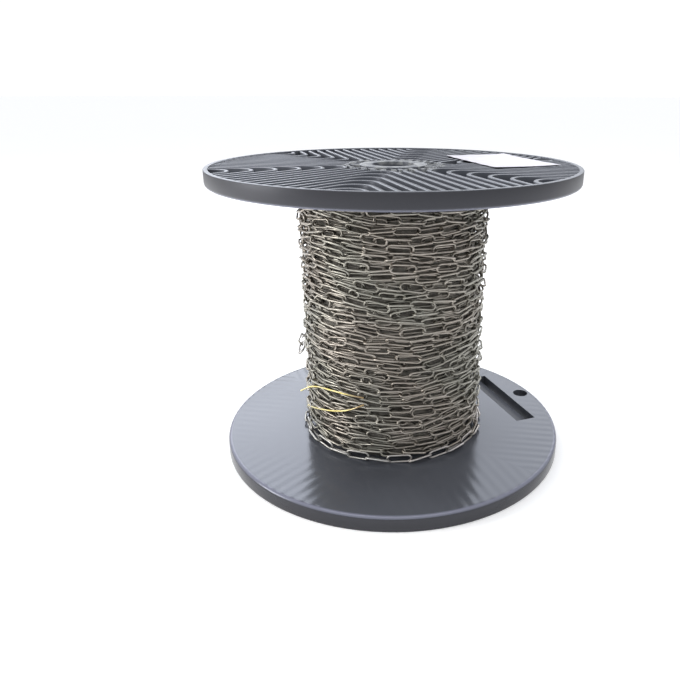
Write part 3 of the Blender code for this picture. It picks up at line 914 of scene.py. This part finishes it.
def winding_tree():
    tree, given, gives = new_tree(
        "wound_chain", "GeometryNodeTree",
        [("Link", "Object"), ("Links", "Int"), ("Turns", "Float"), ("First Angle", "Float"), ("Radius", "Float"),
         ("Lowest", "Float"), ("Highest", "Float"), ("Row Shift", "Float"), ("Top Bulge", "Float"), ("Wander", "Float"),
         ("Jitter", "Float"), ("First Roll", "Float"), ("Second Roll", "Float"), ("Second Drop", "Float"),
         ("Roll Spread", "Float"), ("Tilt Spread", "Float"), ("Seed", "Int"), ("Material", "Material")],
        [("Geometry", "Geometry")],
    )
    height = calc(tree, "SUBTRACT", given["Highest"], given["Lowest"])
    spiral = result(
        tree, "GeometryNodeCurveSpiral",
        {"Resolution": 96, "Rotations": given["Turns"], "Start Radius": given["Radius"],
         "End Radius": given["Radius"], "Height": height},
    )
    lift = result(tree, "ShaderNodeCombineXYZ", {"Z": given["Lowest"]})
    turn = result(tree, "FunctionNodeEulerToRotation", {0: result(tree, "ShaderNodeCombineXYZ", {"Z": given["First Angle"]})})
    spiral = result(tree, "GeometryNodeTransform", {"Geometry": spiral, "Translation": lift, "Rotation": turn})

    # Bend the spiral: slow wander that neighbouring rows share, and a quicker jitter of their own
    place = result(tree, "GeometryNodeInputPosition")
    outward = vector_calc(tree, "NORMALIZE", vector_calc(tree, "MULTIPLY", place, (1.0, 1.0, 0.0)))
    slow = centred_noise(tree, vector_calc(tree, "MULTIPLY", place, (1.0, 1.0, 0.45)), 0.085, given["Seed"])
    quick = centred_noise(tree, vector_calc(tree, "MULTIPLY", place, (1.0, 1.0, 3.0)), 0.035, given["Seed"])
    slow_axes = add(tree, "ShaderNodeSeparateXYZ", {0: slow}).outputs
    quick_axes = add(tree, "ShaderNodeSeparateXYZ", {0: quick}).outputs
    up = calc(tree, "ADD", calc(tree, "MULTIPLY", slow_axes["X"], given["Wander"]),
              calc(tree, "MULTIPLY", quick_axes["X"], given["Jitter"]))
    share = result(tree, "GeometryNodeSplineParameter", output="Factor")
    to_end = calc(tree, "MINIMUM", share, calc(tree, "SUBTRACT", 1.0, share))
    up = calc(tree, "MULTIPLY", up, calc(tree, "MULTIPLY", to_end, 12.0, clamp=True))
    row_turn = calc(tree, "MULTIPLY", calc(tree, "MULTIPLY", share, given["Turns"]), math.pi)
    seat = calc(tree, "MULTIPLY", calc(tree, "COSINE", row_turn), given["Row Shift"])
    swell = calc(tree, "MULTIPLY", calc(tree, "POWER", share, 8.0), given["Top Bulge"])
    slow_out = calc(tree, "MULTIPLY", slow_axes["Y"], calc(tree, "MULTIPLY", given["Wander"], 0.3))
    out = calc(tree, "ADD", calc(tree, "ADD", seat, swell), slow_out)
    out = calc(tree, "ADD", out, calc(tree, "MULTIPLY", quick_axes["Y"], given["Jitter"]))
    sideways = scaled(tree, outward, out)
    shift = vector_calc(tree, "ADD", sideways, result(tree, "ShaderNodeCombineXYZ", {"Z": up}))
    bent = result(tree, "GeometryNodeSetPosition", {"Geometry": spiral, "Offset": shift})
    even = result(tree, "GeometryNodeResampleCurve", {"Curve": bent, "Count": given["Links"]}, mode="COUNT")

    # Lay a link at every point
    index = result(tree, "GeometryNodeInputIndex")
    second = calc(tree, "MODULO", index, 2.0)
    tangent = result(tree, "GeometryNodeInputTangent")
    along = result(
        tree, "FunctionNodeAxesToRotation", {"Primary Axis": tangent, "Secondary Axis": outward},
        primary_axis="X", secondary_axis="Z",
    )
    chance = {"ID": index, "Seed": given["Seed"]}
    spread = calc(tree, "MULTIPLY", given["Roll Spread"],
                  result(tree, "FunctionNodeRandomValue", {"Min": -1.0, "Max": 1.0, **chance}, "Value"))
    roll = calc(tree, "ADD", spread, result(
        tree, "ShaderNodeMapRange", {"Value": second, "To Min": given["First Roll"], "To Max": given["Second Roll"]}
    ))
    tilt = calc(tree, "MULTIPLY", given["Tilt Spread"], result(
        tree, "FunctionNodeRandomValue", {"Min": -1.0, "Max": 1.0, "ID": index, "Seed": calc(tree, "ADD", given["Seed"], 7.0)}, "Value"
    ))
    tilted = result(
        tree, "FunctionNodeRotateRotation",
        {"Rotation": along, "Rotate By": result(tree, "FunctionNodeEulerToRotation",
                                                {0: result(tree, "ShaderNodeCombineXYZ", {"Z": tilt})})},
        rotation_space="LOCAL",
    )
    rolled = result(
        tree, "FunctionNodeRotateRotation",
        {"Rotation": tilted, "Rotate By": result(tree, "FunctionNodeEulerToRotation",
                                                 {0: result(tree, "ShaderNodeCombineXYZ", {"X": roll})})},
        rotation_space="LOCAL",
    )
    drop = calc(tree, "MULTIPLY", calc(tree, "MULTIPLY", second, given["Second Drop"]), -1.0)
    shape = result(tree, "GeometryNodeObjectInfo", {"Object": given["Link"]}, "Geometry")
    dropped = result(
        tree, "GeometryNodeSetPosition", {"Geometry": even, "Offset": result(tree, "ShaderNodeCombineXYZ", {"Z": drop})}
    )
    links = result(
        tree, "GeometryNodeInstanceOnPoints", {"Points": dropped, "Instance": shape, "Rotation": rolled}
    )
    shade = result(
        tree, "FunctionNodeRandomValue", {"Min": 0.0, "Max": 1.0, "ID": index, "Seed": calc(tree, "ADD", given["Seed"], 3.0)}, "Value"
    )
    marked = result(
        tree, "GeometryNodeStoreNamedAttribute", {"Geometry": links, "Name": "shade", "Value": shade},
        data_type="FLOAT", domain="INSTANCE",
    )
    solid = result(tree, "GeometryNodeRealizeInstances", {"Geometry": marked})
    painted = result(tree, "GeometryNodeSetMaterial", {"Geometry": solid, "Material": given["Material"]})
    tree.links.new(painted, gives["Geometry"])
    return tree


winding = winding_tree()


def wind(name, slot, nodes, **values):
    """Lay a winding and hand it over as a piece on the reel."""
    piece = grown(name, winding, {label.replace("_", " "): value for label, value in values.items()})
    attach(piece, "root")
    if nodes:
        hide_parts(*nodes)
    print(name, "has", values["Links"], "links and", len(piece.data.polygons), "faces")
    return piece


def links_in(radius, turns):
    return round(math.tau * radius * turns / LINK_PITCH)


# %% [markdown]
# ## Wound layers
#
# Two layers of real links are laid.  The outer one is what the camera sees, and the
# one beneath fills its gaps with coarser links in a darker copy of the steel, whose
# darkness is painted shade, so that the eye can look into the winding and never
# meets a smooth wall.

# %% Wound layers
TURN_PITCH = 9.43 * MM
OUTER_RADIUS = 100.6 * MM
UNDER_RADIUS = 95.6 * MM
LINK_HALF = LINK_WIDTH / 2
top_row = INNER_HIGH - LINK_HALF - 0.6 * MM
low_row = INNER_LOW + LINK_HALF + 0.35 * TURN_PITCH
outer_turns = (top_row - low_row) / TURN_PITCH

wind(
    "wound_chain", "chain_outer_layer", ["chain_outer_layer"],
    Link=wound_link, Links=links_in(OUTER_RADIUS, outer_turns), Turns=outer_turns, First_Angle=0.3,
    Radius=OUTER_RADIUS, Lowest=low_row, Highest=top_row, Row_Shift=0.9 * MM, Top_Bulge=5.5 * MM, Wander=5.2 * MM, Jitter=2.3 * MM,
    First_Roll=0.0, Second_Roll=math.radians(90), Second_Drop=0.0, Roll_Spread=math.radians(32),
    Tilt_Spread=math.radians(10), Seed=4, Material=steel,
)
under_turns = (top_row - INNER_LOW - LINK_HALF) / TURN_PITCH
wind(
    "under_layer", "chain_outer_layer", [],
    Link=deep_link, Links=links_in(UNDER_RADIUS, under_turns), Turns=under_turns, First_Angle=1.7,
    Radius=UNDER_RADIUS, Lowest=INNER_LOW + LINK_HALF, Highest=top_row, Row_Shift=0.8 * MM, Top_Bulge=3.0 * MM, Wander=2.0 * MM,
    Jitter=1.0 * MM, First_Roll=math.radians(-35), Second_Roll=math.radians(50), Second_Drop=0.0,
    Roll_Spread=math.radians(30), Tilt_Spread=math.radians(6), Seed=11, Material=shaded_deep_steel,
)

# %% [markdown]
# ## Foot of the winding
#
# The first turn of the outer layer lies on the flange itself.  Every second link
# there has fallen outward until its outer leg rests on the plastic, so the foot of
# the winding shows a row of open, nearly flat rings.

# %% Foot of the winding
FOOT_LINKS = 28
FOOT_LEAN = math.radians(-62)
FOOT_RADIUS = 104.6 * MM
leg_offset = LINK_WIDTH / 2 - WIRE_RADIUS
standing = INNER_LOW + WIRE_RADIUS + leg_offset
leaning = INNER_LOW + WIRE_RADIUS + leg_offset * math.cos(FOOT_LEAN)

# The foot links wear the brighter steel, which is painted light for their highlights.
wind(
    "foot_of_winding", "chain_outer_layer", [],
    Link=wound_link, Links=FOOT_LINKS, Turns=(FOOT_LINKS - 1) / FOOT_LINKS, First_Angle=math.radians(-86),
    Radius=FOOT_RADIUS, Lowest=standing, Highest=standing, Row_Shift=0.0, Top_Bulge=0.0, Wander=0.0, Jitter=0.0,
    First_Roll=0.0, Second_Roll=FOOT_LEAN, Second_Drop=standing - leaning, Roll_Spread=math.radians(5),
    Tilt_Spread=math.radians(4), Seed=2, Material=painted_lit_steel,
)

# %% [markdown]
# ## The loose last turn
#
# The free end of the chain lies over the other turns at two fifths of the height.
# Its links stand off the winding and show in outline on both sides, so they are laid
# exactly where their CAD solids are, with the fuller link that has a weld.

# %% Loose last turn
LAST_TURN_LINKS = 14
LAST_TURN_RADIUS = 108.8 * MM


def middle_height(node):
    low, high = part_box(node)
    return (low.z + high.z) / 2


last_turn_nodes = ["last_turn_link_%02d" % (number + 1) for number in range(LAST_TURN_LINKS)]
last_step = 2 * math.asin(LINK_PITCH / 2 / LAST_TURN_RADIUS)

# The loose links wear the brighter steel, which is painted light for their highlights.
wind(
    "loose_last_turn", last_turn_nodes[0], last_turn_nodes,
    Link=loose_link, Links=LAST_TURN_LINKS, Turns=(LAST_TURN_LINKS - 1) * last_step / math.tau,
    First_Angle=math.radians(192), Radius=LAST_TURN_RADIUS, Lowest=middle_height(last_turn_nodes[0]),
    Highest=middle_height(last_turn_nodes[-1]), Row_Shift=0.0, Top_Bulge=0.0, Wander=0.0, Jitter=0.0,
    First_Roll=math.radians(45), Second_Roll=math.radians(-45), Second_Drop=0.0, Roll_Spread=0.0,
    Tilt_Spread=0.0, Seed=1, Material=painted_lit_steel,
)
for tool in (wound_link, deep_link, loose_link):
    bpy.data.objects.remove(tool)

# %% [markdown]
# ## Tie wire
#
# A twist of yellow wire was passed round the winding to keep the chain from running
# off.  Two strands show at the lower left, the upper one with its free end standing
# away.  Each is a smooth curve through the points of its CAD solid, given a round
# section and then kept as a mesh that knows how far along the wire each point is.

# %% Tie wire
TIE_RADIUS = 0.9 * MM
TURN_CREST = 104.4 * MM


def on_winding(degrees, height, lift):
    """A point outside the winding, at an angle, a height and a distance off its crests, in mm."""
    place = polar(TURN_CREST + lift * MM, math.radians(degrees))
    return Vector((place.x, place.y, height * MM))


def strand(name, path, steps=8, sides=8):
    """A round wire on a smooth curve through the path, closed at both ends."""
    curve = bpy.data.curves.new(name, "CURVE")
    curve.dimensions = "3D"
    curve.bevel_depth = TIE_RADIUS
    curve.bevel_resolution = sides // 2 - 2
    curve.use_fill_caps = True
    curve.resolution_u = steps
    spline = curve.splines.new("BEZIER")
    spline.bezier_points.add(len(path) - 1)
    for point, place in zip(spline.bezier_points, path):
        point.co = on_winding(*place)
        point.handle_left_type = "AUTO"
        point.handle_right_type = "AUTO"
    drawn = bpy.data.objects.new(name, curve)
    bpy.context.scene.collection.objects.link(drawn)
    mesh = finished_mesh(drawn)
    bpy.data.objects.remove(drawn)
    start, end = on_winding(*path[0]).x, on_winding(*path[-1]).x
    along = mesh.attributes.new("along", "FLOAT", "POINT")
    along.data.foreach_set("value", [(vertex.co.x - start) / (end - start) for vertex in mesh.vertices])
    smooth(mesh, 50)
    mesh.materials.append(tie)
    return mesh


upper_path = [
    (206, 78, 13), (209, 83.5, 5), (215, 88, 1.4), (223, 92, 1.6), (231, 94.3, 1.8),
    (241, 95, 1.8), (248, 94.8, 1.4), (253, 94.5, 1.2),
]
lower_path = [
    (199, 51, 1.2), (207, 56, 1.4), (214, 60.3, 1.8), (224, 65.7, 1.8), (233, 70.2, 1.8),
    (242, 75.6, 1.6), (248, 81, 1.4), (253, 86.3, 1.2),
]
place_piece("tie_strand_upper", strand("tie_strand_upper", upper_path), "tie_wire_upper", "tie_wire_upper")
place_piece("tie_strand_lower", strand("tie_strand_lower", lower_path), "tie_wire_lower", "tie_wire_lower")

# %% [markdown]
# ## Label
#
# The label is bare paper stuck down on the frame of the upper hand slot.  Paper over
# ribs never lies dead flat: between the ribs it sinks by a few tenths of a
# millimetre, and its corners lift.  A fine grid, bent by that rule and then given a
# thickness, shows it in the highlights.

# %% Label
LABEL_CENTRE = 129 * MM
LABEL_OUT = 78 * MM
LABEL_ACROSS = 132 * MM
LABEL_CELLS = (26, 44)


def label_sheet():
    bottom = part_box("label")[0].z
    mesh = bpy.data.meshes.new("label_sheet")
    sheet = bmesh.new()
    bmesh.ops.create_grid(sheet, x_segments=LABEL_CELLS[0], y_segments=LABEL_CELLS[1], size=0.5)
    for vertex in sheet.verts:
        u, v = 2 * vertex.co.x, 2 * vertex.co.y
        wave = 0.12 * math.sin(math.pi * v * LABEL_ACROSS / 2 / RIB_PITCH) + 0.10 * math.sin(5 * u + 2 * v)
        curl = 1.3 * max(0.0, abs(u) + abs(v) - 1.45) ** 1.5
        vertex.co = Vector((u * LABEL_OUT / 2, v * LABEL_ACROSS / 2, (0.25 + wave + curl) * MM))
    corners = [vertex for vertex in sheet.verts if len(vertex.link_edges) == 2]
    bmesh.ops.bevel(sheet, geom=corners, offset=2 * MM, segments=3, profile=0.5, affect="VERTICES")
    sheet.to_mesh(mesh)
    sheet.free()
    mesh.transform(Matrix.Translation((LABEL_CENTRE, 0.0, bottom)))
    mesh.transform(Matrix.Rotation(SECTOR_LINE, 4, "Z"))
    drawn = bpy.data.objects.new("label_drawn", mesh)
    bpy.context.scene.collection.objects.link(drawn)
    body = drawn.modifiers.new("paper", "SOLIDIFY")
    body.thickness = 0.35 * MM
    body.offset = 1.0
    sheet_mesh = finished_mesh(drawn)
    bpy.data.objects.remove(drawn)
    smooth(sheet_mesh, 60)
    sheet_mesh.materials.append(paper)
    return sheet_mesh


place_piece("label_paper_sheet", label_sheet(), "label", "label")

# %% [markdown]
# ## Parts that keep their CAD shape
#
# Two plain rings of the CAD model stay as they are, because only slivers of them
# show: the barrel of the reel, seen through the bore, and the core that stands for
# the deepest turns of chain.  The core gets a ropy finish with the rhythm of the
# turns in its bump, in case light falls through the links onto it.  Its dark colour
# is painted shade: the deep turns are steel, kept far darker than the links above.

# %% Barrel and core finishes
def shaded_deep_turns():
    material, tree, shader = new_material("shaded_deep_turns")
    place = result(tree, "ShaderNodeTexCoord", output="Object")
    height = add(tree, "ShaderNodeSeparateXYZ", {0: place}).outputs["Z"]
    rows = calc(tree, "SINE", calc(tree, "MULTIPLY", height, math.tau / TURN_PITCH))
    wires = result(
        tree, "ShaderNodeTexVoronoi", {"Vector": place, "Scale": 160.0}, "Distance", feature="F1"
    )
    # Painted shade: colours far darker than the link steel, for turns that lie deep in the winding.
    colour = mix_colours(tree, wires, (0.10, 0.095, 0.085, 1), (0.26, 0.24, 0.21, 1))
    tree.links.new(colour, shader.inputs["Base Color"])
    shader.inputs["Metallic"].default_value = 0.6
    tree.links.new(between(tree, wires, 0.45, 0.7), shader.inputs["Roughness"])
    rough = calc(tree, "ADD", rows, calc(tree, "MULTIPLY", wires, 1.5))
    bump = add(tree, "ShaderNodeBump", {"Height": rough, "Strength": 0.8, "Distance": 1.0 * MM})
    tree.links.new(bump.outputs[0], shader.inputs["Normal"])
    return material


def keep_node(name, material):
    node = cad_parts[name]
    node.data.materials.clear()
    node.data.materials.append(material)
    print(name, "keeps its CAD shape, in", material.name)


keep_node("barrel", upper_plastic)
keep_node("chain_core", shaded_deep_turns())

# %% Finish
bpy.context.view_layer.update()
